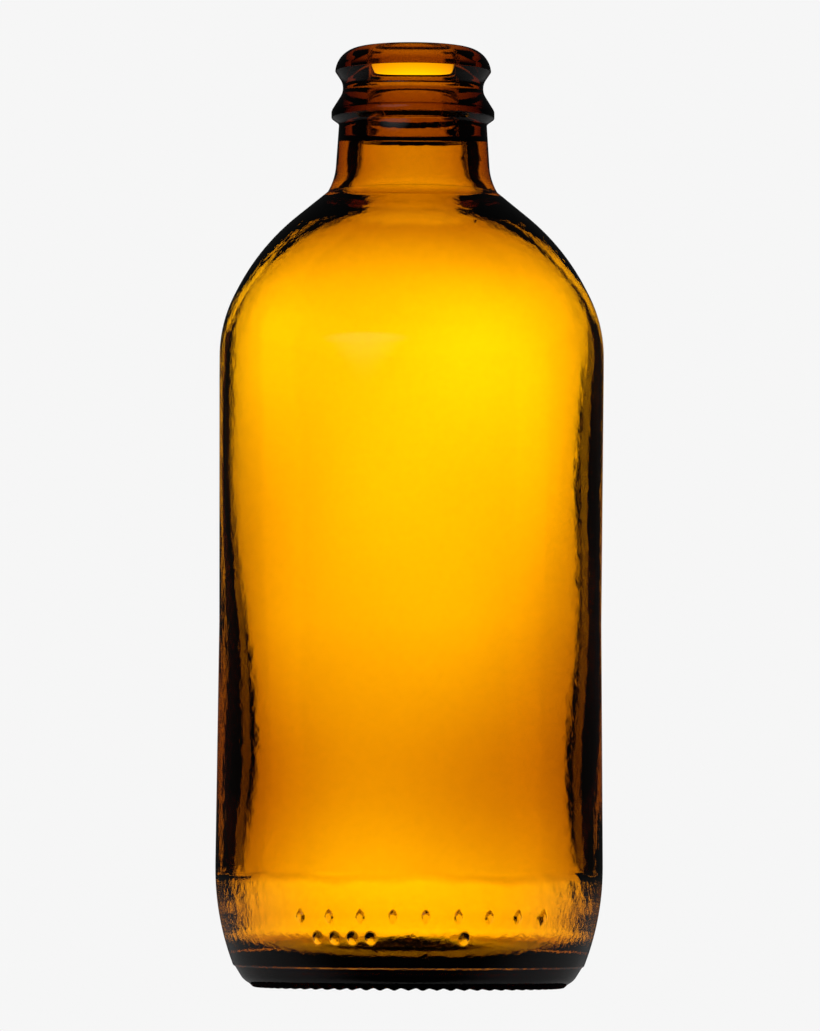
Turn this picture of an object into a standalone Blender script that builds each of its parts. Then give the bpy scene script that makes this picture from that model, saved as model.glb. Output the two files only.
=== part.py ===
"""Amber glass stubby bottle with a 26 mm crown finish, standing open and empty.

The bottle is one moulded piece of glass, so it is one closed solid: an outer outline and an inner
outline turned about +Z, a knurled bearing ring under the heel, and small raised marks on the heel.
Dimensions are in millimetres and become metres where vertices are made. The origin is the centre of
the circle that the bottle stands on, and +Z runs up the axis to the mouth.
"""

import math

import bmesh
import bpy
from mathutils import Matrix, Vector

MM = 0.001

# Facets: columns round the turned surfaces, how far a flat facet may cut inside its arc, and how
# close two outline points are when they are one.
COLUMNS_BODY = 68
COLUMNS_INSIDE = 34
ARC_SAG = 0.10
SAME_POINT = 0.08

# Crown finish: the lip that a 26 mm crown cap crimps on, the waist below it and the reinforcing ring.
HEIGHT = 160.2
LIP_R = 13.33
LIP_EDGE_Z = 156.2
LIP_TOP_R = 12.88
LIP_TOP_ROUND = 4.3
LIP_UNDER_ROUND = 0.25
MOUTH_ROUND = 1.0
WAIST_R = 12.0
WAIST_LOW_Z = 152.5
WAIST_HIGH_Z = 154.2
WAIST_ROUND = 2.7
RING_R = 13.93
RING_LOW_Z = 148.15
RING_HIGH_Z = 149.4
RING_UNDER_ROUND = 0.35
RING_TOP_ROUND = 1.2

# Neck: nearly straight under the ring, then flaring to a sharp root on the shoulder.
NECK_TOP_R = 12.62
NECK_TOP_Z = 147.2
NECK_TOP_ROUND = 0.7
NECK_FLARE_R = 13.25
NECK_FLARE_Z = 137.8
NECK_FLARE_ROUND = 10.0
NECK_ROOT_R = 14.5
NECK_ROOT_Z = 135.45
NECK_ROOT_ROUND = 0.5

# Shoulder: a tight arc rises from the body and runs on into a wider one.
SHOULDER_Z = 107.35
SHOULDER_LOW_ROUND = 23.2
SHOULDER_HIGH_ROUND = 38.5
SHOULDER_MEET = math.radians(27.4)
SHOULDER_END = math.radians(54.0)

# Body: two contact bands, with a label panel between them that is hollow by a quarter of a millimetre.
BODY_R = 32.75
BODY_LOW_Z = 104.0
PANEL_R = 32.50
PANEL_Z = 62.0
HEEL_R = 32.90
HEEL_TOP_Z = 20.6

# Heel: a long arc, a fine ledge where the body mould meets the base plate, then the bottom edge.
HEEL_CORNER_Z = 12.0
HEEL_ROUND = 45.5
LEDGE_OUT_R = 29.80
LEDGE_OUT_Z = 3.8
LEDGE_IN_R = 29.40
LEDGE_IN_Z = 3.5
EDGE_R = 27.5
EDGE_ROUND = 3.4

# Bearing ring: radial knurls with flat crests at the standing plane, and the push-up inside them.
KNURLS = 68
KNURL_HEIGHT = 0.4
KNURL_OUT_R = 26.3
KNURL_IN_R = 23.0
KNURL_RUN = 0.9
PUSH_UP_EDGE_R = 20.6
PUSH_UP_EDGE_Z = 1.2
PUSH_UP_EDGE_ROUND = 3.0
PUSH_UP_CROWN_R = 9.0
PUSH_UP_CROWN_ROUND = 40.0
PUSH_UP_Z = 4.2

# Inside: the bore left by the plunger, the wider blown neck, the wall, which is thickest under the
# shoulder's root and above the heel, and the thick floor.
BORE_R = 8.0
BORE_END_Z = 145.4
BLOWN_NECK_R = 9.3
BLOWN_NECK_Z = 143.9
BORE_STEP_ROUND = 0.6
INNER_FLARE_R = 9.7
INNER_FLARE_Z = 138.5
INNER_FLARE_ROUND = 12.0
INNER_ROOT_R = 12.2
INNER_ROOT_DROP = 0.75
INNER_ROOT_ROUND = 4.0
INNER_SHOULDER_ROUND = 33.3
WALL = 2.0
WALL_THICK_R = 29.45
WALL_THICK_Z = 36.0
WALL_THIN_R = 30.2
WALL_THIN_Z = 19.5
WALL_FOOT_R = 28.9
FLOOR_ROUND = 8.0
FLOOR_LOW_Z = 3.9
FLOOR_RISE_R = 18.0
FLOOR_RISE_ROUND = 15.0
FLOOR_Z = 8.2

# Raised marks on the heel: round dots, and a band of plain lozenges above them.
DOT_R = 0.95
DOT_Z = 8.7
DOT_PROUD = 0.5
DOT_PITCH = math.radians(5.7)
DOT_ROW_START = math.radians(-28.7)
DOT_ROW_COUNT = 4
LONE_DOT_ANGLE = math.radians(16.9)
LOZENGE_HALF_WIDTH = 1.0
LOZENGE_HALF_HEIGHT = 1.4
LOZENGE_Z = 12.2
LOZENGE_PROUD = 0.3
LOZENGE_COUNT = 9
LOZENGE_FIRST = math.radians(-34.0)
LOZENGE_LAST = math.radians(44.0)
MARK_SINK = 0.4

GLASS_COLOUR = (0.55, 0.24, 0.02, 1.0)
GLASS_ROUGHNESS = 0.03
GLASS_IOR = 1.52


def clear_scene():
    for thing in list(bpy.data.objects):
        bpy.data.objects.remove(thing, do_unlink=True)


def rounded(corners):
    """Turns (radius, height, rounding) corners into outline points, with a tangent arc at each rounding.

    Where one arc ends at the place where the next begins, the shared point is kept once.
    """
    outline = [Vector(corners[0][:2])]
    for before, corner, after in zip(corners, corners[1:], corners[2:]):
        point = Vector(corner[:2])
        arc = [point]
        if corner[2] > 0:
            arc = corner_arc(Vector(before[:2]), point, Vector(after[:2]), corner[2])
        outline.extend(arc[1:] if (arc[0] - outline[-1]).length < SAME_POINT else arc)
    outline.append(Vector(corners[-1][:2]))
    return outline


def corner_arc(before, point, after, rounding):
    to_before = (before - point).normalized()
    to_after = (after - point).normalized()
    turn = math.pi - to_before.angle(to_after)
    reach = rounding * math.tan(turn / 2)
    centre = point + (to_before + to_after).normalized() * (rounding / math.cos(turn / 2))
    spoke = point + to_before * reach - centre
    clockwise = to_before.x * to_after.y - to_before.y * to_after.x > 0
    widest_step = 2 * math.acos(1 - min(ARC_SAG / rounding, 0.3))
    steps = math.ceil(turn / widest_step)
    sweep = -turn if clockwise else turn
    arc = []
    for step in range(steps + 1):
        arc.append(centre + Matrix.Rotation(sweep * step / steps, 2) @ spoke)
    return arc


def shoulder_corners(inset):
    """The two corners whose roundings make the shoulder, and the point where its upper arc ends."""
    body_r = BODY_R - inset
    low = SHOULDER_LOW_ROUND - inset
    high = SHOULDER_HIGH_ROUND - inset
    corner_low = Vector((body_r, SHOULDER_Z + low * math.tan(SHOULDER_MEET / 2)))
    tangent = Vector((-math.sin(SHOULDER_MEET), math.cos(SHOULDER_MEET)))
    half_bend = math.tan((SHOULDER_END - SHOULDER_MEET) / 2)
    corner_high = corner_low + tangent * (low * math.tan(SHOULDER_MEET / 2) + high * half_bend)
    end_tangent = Vector((-math.sin(SHOULDER_END), math.cos(SHOULDER_END)))
    end = corner_high + end_tangent * high * half_bend
    return (*corner_low, low), (*corner_high, high), (*end, 0)


def shoulder_tangent(end, radius):
    """Where the line that runs on from the shoulder's upper arc reaches a radius."""
    return end[1] + (end[0] - radius) / math.tan(SHOULDER_END)


def side_corners():
    """The heel, the contact bands and the label panel, bottom first."""
    return [
        (LEDGE_IN_R, LEDGE_IN_Z, 0),
        (LEDGE_OUT_R, LEDGE_OUT_Z, 0),
        (HEEL_R, HEEL_CORNER_Z, HEEL_ROUND),
        (HEEL_R, HEEL_TOP_Z, 0),
        (PANEL_R, PANEL_Z, 0),
        (BODY_R, BODY_LOW_Z, 0),
    ]


def outside_of_body():
    corner_low, corner_high, end = shoulder_corners(0)
    bottom = [
        (KNURL_OUT_R, KNURL_HEIGHT, 0),
        (EDGE_R, KNURL_HEIGHT, EDGE_ROUND),
    ]
    top = [corner_low, corner_high, end, (NECK_ROOT_R, NECK_ROOT_Z, 0)]
    points = rounded(bottom + side_corners() + top)[:-1]
    return [point for point in points if point.x > KNURL_OUT_R + KNURL_RUN or point.y > LEDGE_IN_Z]


def outside_of_neck():
    corners = [
        shoulder_corners(0)[2],
        (NECK_ROOT_R, NECK_ROOT_Z, NECK_ROOT_ROUND),
        (NECK_FLARE_R, NECK_FLARE_Z, NECK_FLARE_ROUND),
        (NECK_TOP_R, NECK_TOP_Z, NECK_TOP_ROUND),
        (RING_R, RING_LOW_Z, RING_UNDER_ROUND),
        (RING_R, RING_HIGH_Z, RING_TOP_ROUND),
        (WAIST_R, WAIST_LOW_Z, WAIST_ROUND),
        (WAIST_R, WAIST_HIGH_Z, WAIST_ROUND),
        (LIP_R, LIP_EDGE_Z, LIP_UNDER_ROUND),
        (LIP_TOP_R, HEIGHT, LIP_TOP_ROUND),
        (BORE_R, HEIGHT, MOUTH_ROUND),
        (BORE_R, BORE_END_Z, 0),
    ]
    return rounded(corners)[1:-1]


def inside():
    """The inner wall from the foot of the bore down to the middle of the floor."""
    corner_low, corner_high, end = shoulder_corners(WALL)
    root_z = shoulder_tangent(end, INNER_ROOT_R) - INNER_ROOT_DROP
    corners = [
        (BORE_R, HEIGHT, 0),
        (BORE_R, BORE_END_Z, BORE_STEP_ROUND),
        (BLOWN_NECK_R, BLOWN_NECK_Z, BORE_STEP_ROUND),
        (INNER_FLARE_R, INNER_FLARE_Z, INNER_FLARE_ROUND),
        (INNER_ROOT_R, root_z, INNER_ROOT_ROUND),
        (*corner_high[:2], INNER_SHOULDER_ROUND),
        corner_low,
        (BODY_R - WALL, BODY_LOW_Z, 0),
        (WALL_THICK_R, WALL_THICK_Z, 0),
        (WALL_THIN_R, WALL_THIN_Z, 0),
        (WALL_FOOT_R, FLOOR_LOW_Z, FLOOR_ROUND),
        (FLOOR_RISE_R, FLOOR_LOW_Z, FLOOR_RISE_ROUND),
        (0, FLOOR_Z, 0),
    ]
    return rounded(corners)[1:-1]


def ring(mesh, radius, height, columns):
    """A loop of vertices round the axis. height may be one number or a function of the column."""
    loop = []
    for column in range(columns):
        angle = 2 * math.pi * column / columns
        level = height(column) if callable(height) else height
        place = Vector((radius * math.cos(angle), radius * math.sin(angle), level)) * MM
        loop.append(mesh.verts.new(place))
    return loop


def bridge(mesh, first, second):
    """Joins two loops with faces. One loop may have a whole multiple of the other's vertices."""
    coarse, fine = sorted((first, second), key=len)
    ratio = len(fine) // len(coarse)
    for column, corner in enumerate(coarse):
        next_corner = coarse[(column + 1) % len(coarse)]
        start = column * ratio
        if ratio == 1:
            mesh.faces.new((corner, next_corner, fine[(start + 1) % len(fine)], fine[start]))
            continue
        middle = ratio // 2
        for step in range(ratio):
            hub = corner if step < middle else next_corner
            mesh.faces.new((hub, fine[start + step], fine[(start + step + 1) % len(fine)]))
        mesh.faces.new((corner, next_corner, fine[start + middle]))


def knurl_level(column):
    """Flat crests at the standing plane and flat troughs, two columns of each."""
    return 0 if column % 4 < 2 else KNURL_HEIGHT


def bearing_loops(mesh):
    """From the push-up's edge out across the knurls."""
    columns = KNURLS * 4
    return [
        ring(mesh, KNURL_IN_R - KNURL_RUN, KNURL_HEIGHT, COLUMNS_BODY),
        ring(mesh, KNURL_IN_R, knurl_level, columns),
        ring(mesh, KNURL_OUT_R, knurl_level, columns),
    ]


def push_up_loops(mesh):
    corners = [
        (0, PUSH_UP_Z, 0),
        (PUSH_UP_CROWN_R, PUSH_UP_Z, PUSH_UP_CROWN_ROUND),
        (PUSH_UP_EDGE_R, PUSH_UP_EDGE_Z, PUSH_UP_EDGE_ROUND),
        (KNURL_IN_R - KNURL_RUN, KNURL_HEIGHT, 0),
    ]
    return [ring(mesh, *point, COLUMNS_INSIDE) for point in rounded(corners)[1:-1]]


def cap(mesh, loop, height):
    """Closes a loop with a fan to a point on the axis."""
    centre = mesh.verts.new((0, 0, height * MM))
    for column, corner in enumerate(loop):
        mesh.faces.new((centre, corner, loop[(column + 1) % len(loop)]))


def bottle_mesh():
    mesh = bmesh.new()
    loops = push_up_loops(mesh) + bearing_loops(mesh)
    loops += [ring(mesh, *point, COLUMNS_BODY) for point in outside_of_body()]
    loops += [ring(mesh, *point, COLUMNS_INSIDE) for point in outside_of_neck() + inside()]
    for below, above in zip(loops, loops[1:]):
        bridge(mesh, below, above)
    cap(mesh, loops[0], PUSH_UP_Z)
    cap(mesh, loops[-1], FLOOR_Z)
    bmesh.ops.recalc_face_normals(mesh, faces=mesh.faces)
    return mesh


def heel_radius(height):
    """The heel arc's radius at a height, used to seat the raised marks."""
    slope = math.atan2(HEEL_R - LEDGE_OUT_R, HEEL_CORNER_Z - LEDGE_OUT_Z)
    top = HEEL_CORNER_Z + HEEL_ROUND * math.tan(slope / 2)
    return HEEL_R - HEEL_ROUND + math.sqrt(HEEL_ROUND**2 - (top - height) ** 2)


def mark_frame(angle, height):
    """A frame on the heel with X pointing out of the glass, for a mark at an angle from the front."""
    tilt = math.asin((HEEL_CORNER_Z + HEEL_ROUND * 0.19 - height) / HEEL_ROUND)
    turn = Matrix.Rotation(angle - math.pi / 2, 4, "Z")
    out = Matrix.Translation(Vector((heel_radius(height), 0, height)) * MM)
    return turn @ out @ Matrix.Rotation(tilt, 4, "Y")


def add_dot(mesh, angle):
    """A low dome, rounder than it is proud."""
    frame = mark_frame(angle, DOT_Z)
    scale = Matrix.Diagonal((DOT_PROUD + MARK_SINK, DOT_R * 1.25, DOT_R * 1.25, 1)) * MM
    scale[3][3] = 1
    sink = Matrix.Translation((-MARK_SINK * MM, 0, 0))
    upright = Matrix.Rotation(math.pi / 2, 4, "Y")
    bmesh.ops.create_uvsphere(
        mesh, u_segments=10, v_segments=6, radius=1, matrix=frame @ sink @ scale @ upright
    )


def add_lozenge(mesh, angle):
    """A four-sided plate with chamfered edges, standing on its point."""
    frame = mark_frame(angle, LOZENGE_Z)
    outline = [(1, 0), (0, 1), (-1, 0), (0, -1)]
    loops = []
    for out, size in ((-MARK_SINK, 1.0), (0, 1.0), (LOZENGE_PROUD, 0.6)):
        loop = []
        for across, up in outline:
            place = (out, across * size * LOZENGE_HALF_WIDTH, up * size * LOZENGE_HALF_HEIGHT)
            loop.append(mesh.verts.new(frame @ (Vector(place) * MM)))
        loops.append(loop)
    for below, above in zip(loops, loops[1:]):
        bridge(mesh, below, above)
    mesh.faces.new(loops[0])
    mesh.faces.new(loops[-1])


def marks_mesh():
    mesh = bmesh.new()
    for number in range(DOT_ROW_COUNT):
        add_dot(mesh, DOT_ROW_START + number * DOT_PITCH)
    add_dot(mesh, LONE_DOT_ANGLE)
    for number in range(LOZENGE_COUNT):
        share = number / (LOZENGE_COUNT - 1)
        add_lozenge(mesh, LOZENGE_FIRST + share * (LOZENGE_LAST - LOZENGE_FIRST))
    bmesh.ops.recalc_face_normals(mesh, faces=mesh.faces)
    return mesh


def add_object(name, mesh):
    data = bpy.data.meshes.new(name)
    mesh.to_mesh(data)
    mesh.free()
    thing = bpy.data.objects.new(name, data)
    bpy.context.scene.collection.objects.link(thing)
    return thing


def amber_glass():
    material = bpy.data.materials.new("amber_glass")
    material.use_nodes = True
    shader = material.node_tree.nodes["Principled BSDF"]
    shader.inputs["Base Color"].default_value = GLASS_COLOUR
    shader.inputs["Roughness"].default_value = GLASS_ROUGHNESS
    shader.inputs["Metallic"].default_value = 0.0
    shader.inputs["IOR"].default_value = GLASS_IOR
    shader.inputs["Transmission Weight"].default_value = 1.0
    return material


def make_bottle():
    bottle = add_object("glass_bottle", bottle_mesh())
    bottle.data.materials.append(amber_glass())
    marks = add_object("heel_marks_cutter", marks_mesh())
    marks.hide_render = True
    marks.display_type = "WIRE"
    union = bottle.modifiers.new("raised_marks", "BOOLEAN")
    union.operation = "UNION"
    union.object = marks
    bottle.data.shade_smooth()
    bottle.data.set_sharp_from_angle(angle=math.radians(35))


clear_scene()
make_bottle()
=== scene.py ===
"""Looks for the amber stubby bottle: its fine glass surface, its material, the stage and the camera."""

import math

import bpy
import numpy as np
from mathutils import Matrix, Vector


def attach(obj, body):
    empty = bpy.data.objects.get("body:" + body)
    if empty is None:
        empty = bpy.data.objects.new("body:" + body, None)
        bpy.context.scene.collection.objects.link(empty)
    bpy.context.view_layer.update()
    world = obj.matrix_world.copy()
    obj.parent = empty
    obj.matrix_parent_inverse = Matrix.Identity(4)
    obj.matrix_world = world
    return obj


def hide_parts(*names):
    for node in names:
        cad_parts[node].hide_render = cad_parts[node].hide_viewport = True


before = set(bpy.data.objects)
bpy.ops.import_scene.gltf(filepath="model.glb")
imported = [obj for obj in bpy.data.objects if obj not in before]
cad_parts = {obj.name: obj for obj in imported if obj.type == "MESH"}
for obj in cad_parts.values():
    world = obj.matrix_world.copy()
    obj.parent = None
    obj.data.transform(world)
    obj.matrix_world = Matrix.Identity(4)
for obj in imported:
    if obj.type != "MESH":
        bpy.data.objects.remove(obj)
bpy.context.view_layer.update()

MM = 0.001

# ---------------------------------------------------------------- glass outline, in millimetres

HEIGHT = 160.2
LIP_R = 13.33
LIP_EDGE_Z = 156.2
LIP_TOP_R = 12.88
LIP_TOP_ROUND = 4.3
LIP_UNDER_ROUND = 0.25
MOUTH_ROUND = 1.0
WAIST_R = 12.0
WAIST_LOW_Z = 152.5
WAIST_HIGH_Z = 154.2
WAIST_ROUND = 2.7
RING_R = 13.93
RING_LOW_Z = 148.15
RING_HIGH_Z = 149.4
RING_UNDER_ROUND = 0.35
RING_TOP_ROUND = 1.2

NECK_TOP_R = 12.62
NECK_TOP_Z = 147.2
NECK_TOP_ROUND = 0.7
NECK_FLARE_R = 13.25
NECK_FLARE_Z = 137.8
NECK_FLARE_ROUND = 10.0
NECK_ROOT_R = 14.5
NECK_ROOT_Z = 135.45
NECK_ROOT_ROUND = 0.5

SHOULDER_Z = 107.35
SHOULDER_LOW_ROUND = 23.2
SHOULDER_HIGH_ROUND = 38.5
SHOULDER_MEET = math.radians(27.4)
SHOULDER_END = math.radians(54.0)

BODY_R = 32.75
BODY_LOW_Z = 104.0
PANEL_R = 32.50
PANEL_Z = 62.0
HEEL_R = 32.90
HEEL_TOP_Z = 21.1

HEEL_CORNER_Z = 12.0
HEEL_ROUND = 45.5
LEDGE_OUT_R = 29.80
LEDGE_OUT_Z = 3.8
LEDGE_IN_R = 29.40
LEDGE_IN_Z = 3.5
LEDGE_ROUND = 0.15
EDGE_R = 27.5
EDGE_ROUND = 3.4

KNURLS = 68
KNURL_HEIGHT = 0.4
KNURL_OUT_R = 26.3
KNURL_IN_R = 23.0
KNURL_RUN = 0.9
PUSH_UP_EDGE_R = 20.6
PUSH_UP_EDGE_Z = 1.2
PUSH_UP_EDGE_ROUND = 3.0
PUSH_UP_CROWN_R = 9.0
PUSH_UP_CROWN_ROUND = 40.0
PUSH_UP_Z = 4.2

BORE_R = 8.0
BORE_END_Z = 144.8
BLOWN_NECK_R = 9.3
BLOWN_NECK_Z = 144.1
BORE_STEP_ROUND = 0.3
BORE_STEP_TILT = 0.9
TILT_FULL = 1.0
TILT_REACH_DOWN = 5.0
TILT_REACH_UP = 4.0
BORE_JOIN_RISE = 4.0
INNER_FLARE_R = 9.7
INNER_FLARE_Z = 138.5
INNER_FLARE_ROUND = 12.0
INNER_ROOT_R = 12.2
INNER_ROOT_ROUND = 4.0
INNER_ROOT_DROP = 0.75
INNER_SHOULDER_ROUND = 33.3
WALL = 2.0
WALL_THICK_R = 29.45
WALL_THICK_Z = 36.0
WALL_THICK_ROUND = 170.0
WALL_THIN_R = 30.2
WALL_THIN_Z = 19.5
WALL_THIN_ROUND = 3.0
WALL_FOOT_R = 28.9
FLOOR_ROUND = 8.0
FLOOR_LOW_Z = 3.9
FLOOR_RISE_R = 18.0
FLOOR_RISE_ROUND = 15.0
FLOOR_Z = 8.2

HAMMERED_Z = 18.8
HAMMERED_STEP_OUT = 0.34
HAMMERED_DENT = 0.028
HAMMERED_EDGE_HALF = 0.7
HAMMERED_FOOT_Z = 12.0
HAMMERED_FULL_Z = 15.5

# Slow swells of the inner wall: depth, waves round the bottle, turn, and rise per radian of wave.
SWELLS = (
    (0.16, 2, 0.6, 31.0),
    (0.10, 3, -1.1, -19.0),
    (0.05, 5, 0.0, 9.0),
)
SWELL_FOOT_Z = 9.0
SWELL_FOOT_FULL_Z = 22.0
SWELL_TOP_FULL_Z = 118.0
SWELL_TOP_Z = 134.0

DOT_R = 0.95
DOT_Z = 8.7
DOT_PROUD = 0.5
DOT_PITCH = math.radians(5.7)
DOT_ROW_START = math.radians(-28.7)
DOT_ROW_COUNT = 4
LONE_DOT_ANGLE = math.radians(16.9)
LOZENGE_HALF_WIDTH = 1.0
LOZENGE_HALF_HEIGHT = 1.4
LOZENGE_Z = 12.2
LOZENGE_PROUD = 0.3
LOZENGE_FLAT = 0.6
LOZENGE_COUNT = 9
LOZENGE_FIRST = math.radians(-34.0)
LOZENGE_LAST = math.radians(44.0)

# Where the marks and the knurls are looked for on the outer surface.
MARKS_LOW_Z = 6.0
MARKS_HIGH_Z = 16.0
MARKS_IN_R = 29.0
UNDERSIDE_Z = 2.5

# How finely the glass is meshed.
ARC_SAG = 0.0035
MOST_SAG_SHARE = 0.1
FEWEST_ARC_STEPS = 4
SAME_POINT = 1e-3
STEP_SLACK = 0.25
STRAIGHT_STEP = 3.0
HEEL_STEP = 0.35
HEEL_FINE_LOW_Z = 6.5
HEEL_FINE_HIGH_Z = 15.0
HAMMERED_STEP = 0.6
HAMMERED_STEP_MARGIN = 2.5
COLUMNS_PER_KNURL = 4
DOT_SPLIT = 4
DOT_FINE = math.radians(1.8)
LOZENGE_SPLIT = 3
LOZENGE_FINE = math.radians(1.5)


def rounded(corners):
    """Turns (radius, height, rounding) corners into outline points, with a tangent arc at each rounding."""
    outline = [Vector(corners[0][:2])]
    for before, corner, after in zip(corners, corners[1:], corners[2:]):
        point = Vector(corner[:2])
        arc = [point]
        if corner[2] > 0:
            arc = corner_arc(Vector(before[:2]), point, Vector(after[:2]), corner[2])
        outline.extend(arc)
    outline.append(Vector(corners[-1][:2]))
    return outline


def corner_arc(before, point, after, rounding):
    """Points of the arc that rounds off one corner, from tangent point to tangent point."""
    to_before = (before - point).normalized()
    to_after = (after - point).normalized()
    turn = math.pi - to_before.angle(to_after)
    reach = rounding * math.tan(turn / 2)
    centre = point + (to_before + to_after).normalized() * (rounding / math.cos(turn / 2))
    spoke = point + to_before * reach - centre
    clockwise = to_before.x * to_after.y - to_before.y * to_after.x > 0
    widest_step = 2 * math.acos(1 - min(ARC_SAG / rounding, MOST_SAG_SHARE))
    steps = max(FEWEST_ARC_STEPS, math.ceil(turn / widest_step))
    sweep = -turn if clockwise else turn
    return [centre + Matrix.Rotation(sweep * step / steps, 2) @ spoke for step in range(steps + 1)]


def shoulder_corners(inset):
    """The two corners and the end of the shoulder's two tangent arcs, moved in by inset."""
    body_r = BODY_R - inset
    low = SHOULDER_LOW_ROUND - inset
    high = SHOULDER_HIGH_ROUND - inset
    corner_low = Vector((body_r, SHOULDER_Z + low * math.tan(SHOULDER_MEET / 2)))
    tangent = Vector((-math.sin(SHOULDER_MEET), math.cos(SHOULDER_MEET)))
    half_bend = math.tan((SHOULDER_END - SHOULDER_MEET) / 2)
    corner_high = corner_low + tangent * (low * math.tan(SHOULDER_MEET / 2) + high * half_bend)
    end_tangent = Vector((-math.sin(SHOULDER_END), math.cos(SHOULDER_END)))
    end = corner_high + end_tangent * high * half_bend
    return (*corner_low, low), (*corner_high, high), (*end, 0)


def shoulder_tangent(end, radius):
    """Height at a radius on the straight line that carries the shoulder on from its end."""
    return end[1] + (end[0] - radius) / math.tan(SHOULDER_END)


def outside():
    """The outer outline, from the middle of the push-up to the foot of the bore."""
    corner_low, corner_high, end = shoulder_corners(0)
    return rounded([
        (0, PUSH_UP_Z, 0),
        (PUSH_UP_CROWN_R, PUSH_UP_Z, PUSH_UP_CROWN_ROUND),
        (PUSH_UP_EDGE_R, PUSH_UP_EDGE_Z, PUSH_UP_EDGE_ROUND),
        (KNURL_IN_R - KNURL_RUN, KNURL_HEIGHT, 0),
        (EDGE_R, KNURL_HEIGHT, EDGE_ROUND),
        (LEDGE_IN_R, LEDGE_IN_Z, LEDGE_ROUND),
        (LEDGE_OUT_R, LEDGE_OUT_Z, LEDGE_ROUND),
        (HEEL_R, HEEL_CORNER_Z, HEEL_ROUND),
        (HEEL_R, HEEL_TOP_Z, 0),
        (PANEL_R, PANEL_Z, 0),
        (BODY_R, BODY_LOW_Z, 0),
        corner_low,
        corner_high,
        (NECK_ROOT_R, NECK_ROOT_Z, NECK_ROOT_ROUND),
        (NECK_FLARE_R, NECK_FLARE_Z, NECK_FLARE_ROUND),
        (NECK_TOP_R, NECK_TOP_Z, NECK_TOP_ROUND),
        (RING_R, RING_LOW_Z, RING_UNDER_ROUND),
        (RING_R, RING_HIGH_Z, RING_TOP_ROUND),
        (WAIST_R, WAIST_LOW_Z, WAIST_ROUND),
        (WAIST_R, WAIST_HIGH_Z, WAIST_ROUND),
        (LIP_R, LIP_EDGE_Z, LIP_UNDER_ROUND),
        (LIP_TOP_R, HEIGHT, LIP_TOP_ROUND),
        (BORE_R, HEIGHT, MOUTH_ROUND),
        (BORE_R, BORE_END_Z + BORE_JOIN_RISE, 0),
    ])


def inside():
    """The inner outline, from the foot of the bore to the middle of the floor."""
    corner_low, corner_high, end = shoulder_corners(WALL)
    root_z = shoulder_tangent(end, INNER_ROOT_R) - INNER_ROOT_DROP
    return rounded([
        (BORE_R, BORE_END_Z + BORE_JOIN_RISE, 0),
        (BORE_R, BORE_END_Z, BORE_STEP_ROUND),
        (BLOWN_NECK_R, BLOWN_NECK_Z, BORE_STEP_ROUND),
        (INNER_FLARE_R, INNER_FLARE_Z, INNER_FLARE_ROUND),
        (INNER_ROOT_R, root_z, INNER_ROOT_ROUND),
        (*corner_high[:2], INNER_SHOULDER_ROUND),
        corner_low,
        (BODY_R - WALL, BODY_LOW_Z, 0),
        (WALL_THICK_R, WALL_THICK_Z, WALL_THICK_ROUND),
        (WALL_THIN_R, WALL_THIN_Z, WALL_THIN_ROUND),
        (WALL_FOOT_R, FLOOR_LOW_Z, FLOOR_ROUND),
        (FLOOR_RISE_R, FLOOR_LOW_Z, FLOOR_RISE_ROUND),
        (0, FLOOR_Z, 0),
    ])


def spaced(points, is_outside):
    """Adds points on long straight runs, and more where the heel's marks are, and drops repeats."""
    even = [points[0]]
    for point in points[1:]:
        last = even[-1]
        gap = (point - last).length
        if gap < SAME_POINT:
            continue
        by_marks = HEEL_FINE_LOW_Z < point.y < HEEL_FINE_HIGH_Z and point.x > MARKS_IN_R
        by_hammered = last.y < HAMMERED_Z + HAMMERED_STEP_MARGIN
        step = STRAIGHT_STEP
        if is_outside and by_marks:
            step = HEEL_STEP
        if not is_outside and by_hammered:
            step = HAMMERED_STEP
        pieces = max(1, math.ceil(gap / step - STEP_SLACK))
        even.extend(last.lerp(point, number / pieces) for number in range(1, pieces + 1))
    return np.array([tuple(point) for point in even])


# ---------------------------------------------------------------- glass surface


def dot_angles():
    row = [DOT_ROW_START + number * DOT_PITCH for number in range(DOT_ROW_COUNT)]
    return row + [LONE_DOT_ANGLE]


def lozenge_angles():
    return list(np.linspace(LOZENGE_FIRST, LOZENGE_LAST, LOZENGE_COUNT))


def columns():
    """Angles round the bottle from the front, with extra columns where the heel has marks."""
    count = KNURLS * COLUMNS_PER_KNURL
    width = 2 * math.pi / count
    angles = []
    for number in range(count):
        start = number * width - math.pi
        middle = start + width / 2
        split = 1
        if any(abs(middle - angle) < LOZENGE_FINE + width / 2 for angle in lozenge_angles()):
            split = LOZENGE_SPLIT
        if any(abs(middle - angle) < DOT_FINE + width / 2 for angle in dot_angles()):
            split = DOT_SPLIT
        angles.extend(start + width * part / split for part in range(split))
    return np.array(angles)


def ramp(value, start, end):
    """0 at start, 1 at end, with a smooth run between."""
    share = np.clip((value - start) / (end - start), 0, 1)
    return share * share * (3 - 2 * share)


def marks_height(angle, radius, level):
    """How far the heel's dots and lozenges stand out, in millimetres."""
    height = np.zeros(np.broadcast(angle, level).shape)
    for dot in dot_angles():
        across = (angle - dot) * radius
        away = np.hypot(across, level - DOT_Z) / DOT_R
        height = np.maximum(height, DOT_PROUD * np.clip(1 - away**2, 0, 1))
    for lozenge in lozenge_angles():
        across = np.abs(angle - lozenge) * radius / LOZENGE_HALF_WIDTH
        away = across + np.abs(level - LOZENGE_Z) / LOZENGE_HALF_HEIGHT
        height = np.maximum(height, LOZENGE_PROUD * (1 - ramp(away, LOZENGE_FLAT, 1.0)))
    return height


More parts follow.
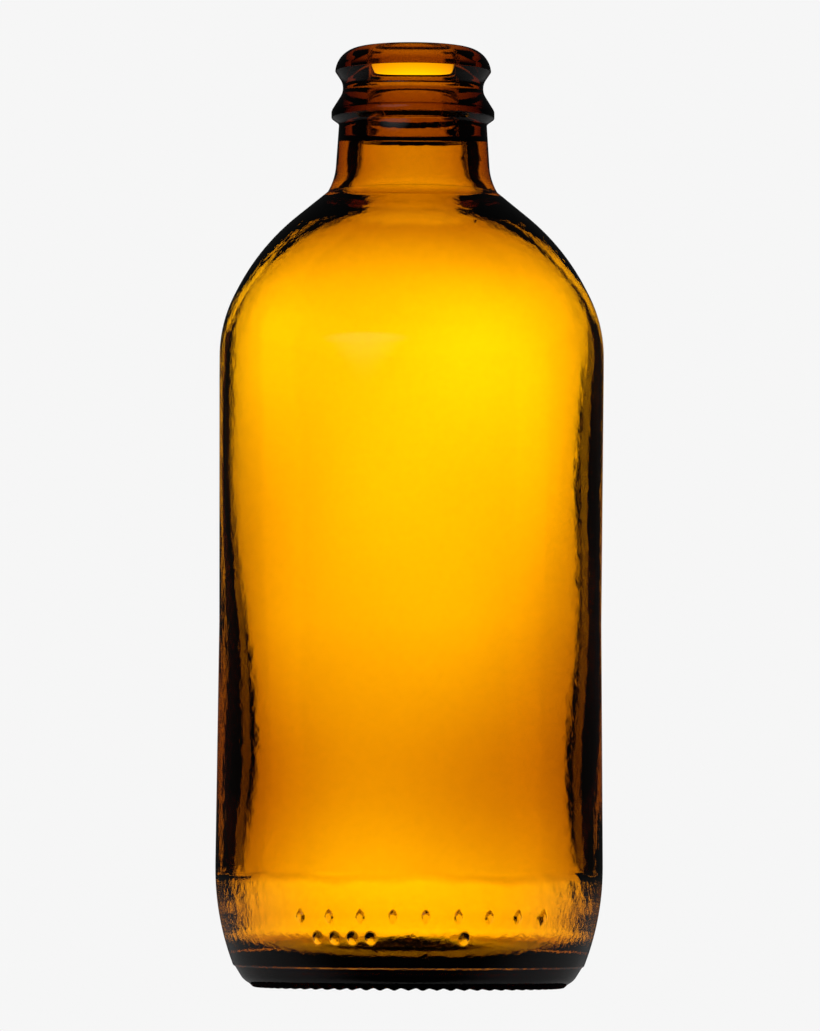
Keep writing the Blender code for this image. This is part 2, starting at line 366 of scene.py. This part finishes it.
def knurl_drop(angle, radius):
    """How far the bearing ring's knurls stand down from its smooth floor, in millimetres."""
    past_inner_edge = ramp(radius, KNURL_IN_R - KNURL_RUN, KNURL_IN_R)
    short_of_outer_edge = 1 - ramp(radius, KNURL_OUT_R, KNURL_OUT_R + KNURL_RUN)
    across = past_inner_edge * short_of_outer_edge
    wave = 0.5 + 0.5 * np.cos(angle * KNURLS)
    return KNURL_HEIGHT * across * wave


def wall_swell(angle, level):
    """How far the inner wall stands out from its outline, in millimetres."""
    swells = [depth * np.sin(waves * angle + turn + level / rise) for depth, waves, turn, rise in SWELLS]
    above_foot = ramp(level, SWELL_FOOT_Z, SWELL_FOOT_FULL_Z)
    below_top = 1 - ramp(level, SWELL_TOP_FULL_Z, SWELL_TOP_Z)
    return sum(swells) * (above_foot * below_top) + hammered(angle, level)


def hammered(angle, level):
    """The step and the small dents low on the inner wall, in millimetres."""
    edge = HAMMERED_Z + 0.35 * np.sin(7 * angle + 1.0) + 0.2 * np.sin(19 * angle)
    # Two crossed sets of waves of unlike pitch, so that the dents don't line up in rows.
    dents = np.sin(31 * angle + 1.9 * level) * np.sin(1.3 * level - 9 * angle)
    dents = dents + 0.8 * np.sin(43 * angle - 1.1 * level + 0.7) * np.sin(2.1 * level + 5 * angle)
    below_edge = ramp(level, edge + HAMMERED_EDGE_HALF, edge - HAMMERED_EDGE_HALF)
    above_foot = ramp(level, HAMMERED_FOOT_Z, HAMMERED_FULL_Z)
    return (HAMMERED_STEP_OUT + HAMMERED_DENT * dents) * below_edge * above_foot


def step_drop(angle, level):
    """How far the tilted step at the foot of the bore stands below its outline, in millimetres."""
    near_below = ramp(level, BLOWN_NECK_Z - TILT_REACH_DOWN, BLOWN_NECK_Z - TILT_FULL)
    near_above = 1 - ramp(level, BORE_END_Z + TILT_FULL, BORE_END_Z + TILT_REACH_UP)
    return BORE_STEP_TILT * (near_below * near_above) * np.cos(angle)


def glass_surface():
    """Vertex grid of the whole bottle: rows follow the outline, columns go round the axis."""
    outer = spaced(outside(), True)
    inner = spaced(inside(), False)
    outline = np.vstack((outer, inner[1:]))
    is_inner = np.r_[np.zeros(len(outer)), np.ones(len(inner) - 1)]
    angle = columns()[None, :]
    radius = outline[1:-1, 0][:, None]
    level = outline[1:-1, 1][:, None]
    inner_row = is_inner[1:-1][:, None] > 0
    on_heel = (~inner_row) & (level > MARKS_LOW_Z) & (level < MARKS_HIGH_Z) & (radius > MARKS_IN_R)
    under = (~inner_row) & (level < UNDERSIDE_Z)
    grown = radius + np.where(on_heel, marks_height(angle, radius, level), 0)
    grown = grown + np.where(inner_row, wall_swell(angle, level), 0)
    lowered = level - np.where(under, knurl_drop(angle, radius), 0)
    lowered = lowered - np.where(inner_row, step_drop(angle, level), 0)
    x = grown * np.sin(angle)
    y = -grown * np.cos(angle)
    z = lowered + 0 * angle
    return np.stack((x, y, z), axis=-1) * MM, outline, is_inner[1:-1]


def grid_faces(rows, count):
    """Quads between neighbouring rows, and a fan at each end of the outline."""
    row, column = np.meshgrid(np.arange(rows - 1), np.arange(count), indexing="ij")
    here = row * count + column
    beside = row * count + (column + 1) % count
    quads = np.stack((here, beside, beside + count, here + count), axis=-1).reshape(-1, 4)
    bottom, top = rows * count, rows * count + 1
    fans = []
    last = (rows - 1) * count
    for column in range(count):
        fans.append((bottom, (column + 1) % count, column))
        fans.append((top, last + column, last + (column + 1) % count))
    return quads.tolist() + fans


def make_bottle():
    grid, outline, is_inner = glass_surface()
    rows, count = grid.shape[:2]
    points = grid.reshape(-1, 3).tolist()
    points += [(0, 0, outline[0, 1] * MM), (0, 0, outline[-1, 1] * MM)]
    data = bpy.data.meshes.new("bottle_glass")
    data.from_pydata(points, [], grid_faces(rows, count))
    inner = data.attributes.new("inner_wall", "FLOAT", "POINT")
    inner.data.foreach_set("value", np.r_[np.repeat(is_inner, count), 0, 1])
    data.shade_smooth()
    data.update()
    bottle = bpy.data.objects.new("bottle_glass", data)
    bpy.context.scene.collection.objects.link(bottle)
    bottle.data.materials.append(amber_glass())
    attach(bottle, "root")
    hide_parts("glass_bottle")


# ---------------------------------------------------------------- material

GLASS_IOR = 1.52
# Together these absorb 300, 480 and 2200 per metre of red, green and blue.
ABSORPTION_COLOUR = (0.8636, 0.7818, 0.0, 1.0)
ABSORPTION_DENSITY = 2200.0
RIPPLE_DEPTH = 0.00003
RIPPLE_SCALE = 420.0
HAMMERED_SCALE = 800.0
HAMMERED_DEPTH = 3.0
HAMMERED_TOP = 0.0186
HAMMERED_FADE = 0.0006


class Nodes:
    """Short calls for making and linking shader nodes in one tree."""

    def __init__(self, tree):
        self.tree = tree

    def add(self, kind, inputs=(), **settings):
        node = self.tree.nodes.new(kind)
        for name, value in settings.items():
            setattr(node, name, value)
        for name, value in dict(inputs).items():
            if isinstance(value, bpy.types.NodeSocket):
                self.tree.links.new(value, node.inputs[name])
            else:
                node.inputs[name].default_value = value
        return node

    def math(self, operation, first, second=0.0):
        return self.add("ShaderNodeMath", {0: first, 1: second}, operation=operation).outputs[0]


def smooth_step(nodes, value, start, end, low=0.0, high=1.0):
    """A smooth run from low to high as value goes from start to end."""
    node = nodes.add(
        "ShaderNodeMapRange",
        {"Value": value, "From Min": start, "From Max": end, "To Min": low, "To Max": high},
        interpolation_type="SMOOTHSTEP",
    )
    return node.outputs["Result"]


def amber_glass():
    """Clear tinted glass, rippled on its inner wall and more so in the hammered band."""
    material = bpy.data.materials.new("amber_glass_fine")
    material.use_nodes = True
    nodes = Nodes(material.node_tree)
    shader = material.node_tree.nodes["Principled BSDF"]
    output = material.node_tree.nodes["Material Output"]
    shader.inputs["Base Color"].default_value = (1.0, 1.0, 1.0, 1.0)
    shader.inputs["Transmission Weight"].default_value = 1.0
    shader.inputs["IOR"].default_value = GLASS_IOR
    shader.inputs["Roughness"].default_value = 0.0
    place = nodes.add("ShaderNodeTexCoord").outputs["Object"]
    inner = nodes.add("ShaderNodeAttribute", attribute_name="inner_wall").outputs["Fac"]
    ripple = nodes.add("ShaderNodeTexNoise", {"Vector": place, "Scale": RIPPLE_SCALE, "Detail": 2.0})
    dents = nodes.add("ShaderNodeTexNoise", {"Vector": place, "Scale": HAMMERED_SCALE, "Detail": 3.0})
    height = nodes.add("ShaderNodeSeparateXYZ", {"Vector": place}).outputs[2]
    band = (HAMMERED_TOP + HAMMERED_FADE, HAMMERED_TOP - HAMMERED_FADE)
    low = smooth_step(nodes, height, *band, 0.0, HAMMERED_DEPTH)
    relief = nodes.math("ADD", ripple.outputs["Fac"], nodes.math("MULTIPLY", dents.outputs["Fac"], low))
    deep = nodes.math("MULTIPLY", relief, inner)
    bump = nodes.add("ShaderNodeBump", {"Height": deep, "Strength": 1.0, "Distance": RIPPLE_DEPTH})
    material.node_tree.links.new(bump.outputs["Normal"], shader.inputs["Normal"])
    volume = nodes.add(
        "ShaderNodeVolumeAbsorption", {"Color": ABSORPTION_COLOUR, "Density": ABSORPTION_DENSITY}
    )
    material.node_tree.links.new(volume.outputs["Volume"], output.inputs["Volume"])
    return material


# ---------------------------------------------------------------- stage, light and camera

BACKDROP = 0.9217
BACKDROP_RADIUS = 5.0
STAGE_SIDES = 96
# Painted contact shadow: a near-black disc just below the floor, right under the bottle.
SHADOW_RADIUS = 0.0275
SHADOW_Z = -0.0003
SHADOW_GLOW = 0.004
SHADOW_SIDES = 64

# The camera sees only the plain floor and backdrop. Light through the glass comes from a box behind the
# bottle, a box at -X and the lit table, and reflections come from a dimmer set. All are given as
# directions from the bottle, and a box's two sides as azimuths from its middle.
BOX_LEFT = math.radians(-16.5)
BOX_RIGHT = math.radians(14.5)
SOFT_EDGE = math.radians(2.5)
BOX_GLOW = 6.1
BOX_TOP = math.radians(28)
TOP_EDGE = math.radians(3)
BOX_FOOT = math.radians(-23)
FOOT_EDGE = math.radians(5)
FOOT_GLOW = 0.6
# The box behind the bottle gets wider between these two heights.
WIDER_FROM = math.radians(5.5)
WIDEST_FROM = math.radians(11.0)
WIDEST = 1.7
# The lit table starts below the first height, is full between the middle two and ends at the last.
LIT_TABLE_START = math.radians(-6)
LIT_TABLE_FULL = math.radians(-13)
LIT_TABLE_FULL_END = math.radians(-37)
LIT_TABLE_END = math.radians(-42)
LIT_TABLE_GLOW = 4.7
ROOM_GLOW = 0.012
MIRRORED_TABLE = 0.13
MIRRORED_TABLE_START = math.radians(2)
MIRRORED_TABLE_FULL = math.radians(-10)
BESIDE_START = math.radians(140)
BESIDE_FULL = math.radians(70)
PATCH_GLOW = 0.5
PATCH_TURN = math.radians(-28)
PATCH_RISE = math.radians(8.5)
PATCH_WIDTH = math.radians(30)
PATCH_HEIGHT = math.radians(5.5)


def sector(nodes, turn, left, right):
    """1 between two azimuths, 0 outside, with soft edges."""
    inside_left = smooth_step(nodes, turn, left - SOFT_EDGE, left + SOFT_EDGE)
    inside_right = smooth_step(nodes, turn, right + SOFT_EDGE, right - SOFT_EDGE)
    return nodes.math("MULTIPLY", inside_left, inside_right)


def lit_table(nodes, height):
    """The lit table, the same all the way round, for the glass to be seen against from above."""
    below = smooth_step(nodes, height, LIT_TABLE_START, LIT_TABLE_FULL, 0.0, LIT_TABLE_GLOW)
    above = smooth_step(nodes, height, LIT_TABLE_END, LIT_TABLE_FULL_END)
    return nodes.math("MULTIPLY", below, above)


def light_through(nodes, back, side, height):
    """What shines through the glass: the two boxes and the lit table."""
    spread = smooth_step(nodes, height, WIDER_FROM, WIDEST_FROM, 1.0, WIDEST)
    boxes = nodes.math(
        "MAXIMUM",
        sector(nodes, nodes.math("DIVIDE", back, spread), BOX_LEFT, BOX_RIGHT),
        sector(nodes, side, BOX_LEFT, BOX_RIGHT),
    )
    below_top = smooth_step(nodes, height, BOX_TOP + TOP_EDGE, BOX_TOP - TOP_EDGE)
    glow = smooth_step(nodes, height, BOX_FOOT - FOOT_EDGE, BOX_FOOT + FOOT_EDGE, FOOT_GLOW, BOX_GLOW)
    through = nodes.math("MULTIPLY", nodes.math("MULTIPLY", boxes, below_top), glow)
    return nodes.math("MAXIMUM", through, lit_table(nodes, height))


def light_mirrored(nodes, x, y, back, height):
    """What the glass reflects: the table beside and behind it, and a soft patch in front."""
    off_centre = nodes.math("ABSOLUTE", back)
    beside = smooth_step(nodes, off_centre, BESIDE_START, BESIDE_FULL)
    under = smooth_step(nodes, height, MIRRORED_TABLE_START, MIRRORED_TABLE_FULL, 0.0, MIRRORED_TABLE)
    mirrored = nodes.math("MULTIPLY", beside, under)
    front = nodes.math("ARCTAN2", x, nodes.math("MULTIPLY", y, -1.0))
    patch_turn = nodes.math("DIVIDE", nodes.math("SUBTRACT", front, PATCH_TURN), PATCH_WIDTH)
    patch_rise = nodes.math("DIVIDE", nodes.math("SUBTRACT", height, PATCH_RISE), PATCH_HEIGHT)
    turn_away = nodes.math("POWER", patch_turn, 2.0)
    rise_away = nodes.math("POWER", patch_rise, 2.0)
    patch_away = nodes.math("ADD", turn_away, rise_away)
    patch = smooth_step(nodes, patch_away, 1.0, 0.0, 0.0, PATCH_GLOW)
    return nodes.math("MAXIMUM", mirrored, patch)


def make_world():
    """Light by direction, one set for rays that go through the glass and one for the rest."""
    world = bpy.data.worlds.new("studio")
    bpy.context.scene.world = world
    world.use_nodes = True
    nodes = Nodes(world.node_tree)
    background = world.node_tree.nodes["Background"]
    background.inputs["Color"].default_value = (1.0, 1.0, 1.0, 1.0)
    direction = nodes.add("ShaderNodeTexCoord").outputs["Generated"]
    x, y, z = nodes.add("ShaderNodeSeparateXYZ", {"Vector": direction}).outputs
    height = nodes.math("ARCSINE", z)
    back = nodes.math("ARCTAN2", x, y)
    side = nodes.math("ARCTAN2", y, nodes.math("MULTIPLY", x, -1.0))
    through = light_through(nodes, back, side, height)
    mirrored = light_mirrored(nodes, x, y, back, height)
    is_through = nodes.add("ShaderNodeLightPath").outputs["Is Transmission Ray"]
    mix = nodes.add("ShaderNodeMix", {0: is_through, 2: mirrored, 3: through})
    light = nodes.math("MAXIMUM", mix.outputs[0], ROOM_GLOW)
    world.node_tree.links.new(light, background.inputs["Strength"])


def stage_piece(name, points, faces, glow, only_camera):
    """A plain surface of the studio, seen by the camera alone or by the glass too."""
    data = bpy.data.meshes.new(name)
    data.from_pydata(points, [], faces)
    piece = bpy.data.objects.new(name, data)
    bpy.context.scene.collection.objects.link(piece)
    material = bpy.data.materials.new("pale_" + name)
    material.use_nodes = True
    shader = material.node_tree.nodes["Principled BSDF"]
    shader.inputs["Base Color"].default_value = (0.0, 0.0, 0.0, 1.0)
    shader.inputs["Roughness"].default_value = 1.0
    shader.inputs["Specular IOR Level"].default_value = 0.0
    shader.inputs["Emission Color"].default_value = (1.0, 1.0, 1.0, 1.0)
    shader.inputs["Emission Strength"].default_value = glow
    data.materials.append(material)
    piece.visible_transmission = not only_camera
    piece.visible_glossy = not only_camera
    piece.visible_diffuse = False
    piece.visible_shadow = False


def make_contact_shadow():
    """Painted contact shadow: a dark patch of table right under the bottle, which shows only through its
    base.
    """
    turns = [2 * math.pi * step / SHADOW_SIDES for step in range(SHADOW_SIDES)]
    edge = [(SHADOW_RADIUS * math.cos(turn), SHADOW_RADIUS * math.sin(turn), SHADOW_Z) for turn in turns]
    stage_piece("contact_shadow", edge, [tuple(range(SHADOW_SIDES))], SHADOW_GLOW, False)


def make_stage():
    """A round floor and a plain drum round and over it."""
    sides = STAGE_SIDES
    turns = [2 * math.pi * step / sides for step in range(sides)]
    edge = [(BACKDROP_RADIUS * math.cos(turn), BACKDROP_RADIUS * math.sin(turn)) for turn in turns]
    stage_piece("floor", [(*place, 0.0) for place in edge], [tuple(range(sides))], BACKDROP, True)
    wall = [(*place, 0.0) for place in edge] + [(*place, BACKDROP_RADIUS) for place in edge]
    beside = [(step, (step + 1) % sides, sides + (step + 1) % sides, sides + step) for step in range(sides)]
    stage_piece("backdrop", wall, beside + [tuple(range(sides, 2 * sides))], BACKDROP, True)


CAMERA_DISTANCE = 1.145
CAMERA_HEIGHT = 0.022
CAMERA_PITCH = math.radians(2.914)
CAMERA_ROLL = math.radians(0.296)
CAMERA_ASIDE = -0.00015
CAMERA_LENS = 235.0


def make_camera():
    data = bpy.data.cameras.new("camera")
    data.sensor_width = 36.0
    data.lens = CAMERA_LENS
    data.clip_start = 0.01
    data.clip_end = 100.0
    camera = bpy.data.objects.new("camera", data)
    look = Matrix.Rotation(math.pi / 2 + CAMERA_PITCH, 4, "X") @ Matrix.Rotation(CAMERA_ROLL, 4, "Z")
    camera.matrix_world = Matrix.Translation((CAMERA_ASIDE, -CAMERA_DISTANCE, CAMERA_HEIGHT)) @ look
    bpy.context.scene.collection.objects.link(camera)
    bpy.context.scene.camera = camera


make_bottle()
make_world()
make_stage()
make_contact_shadow()
make_camera()
bpy.context.scene.view_settings.view_transform = "Standard"
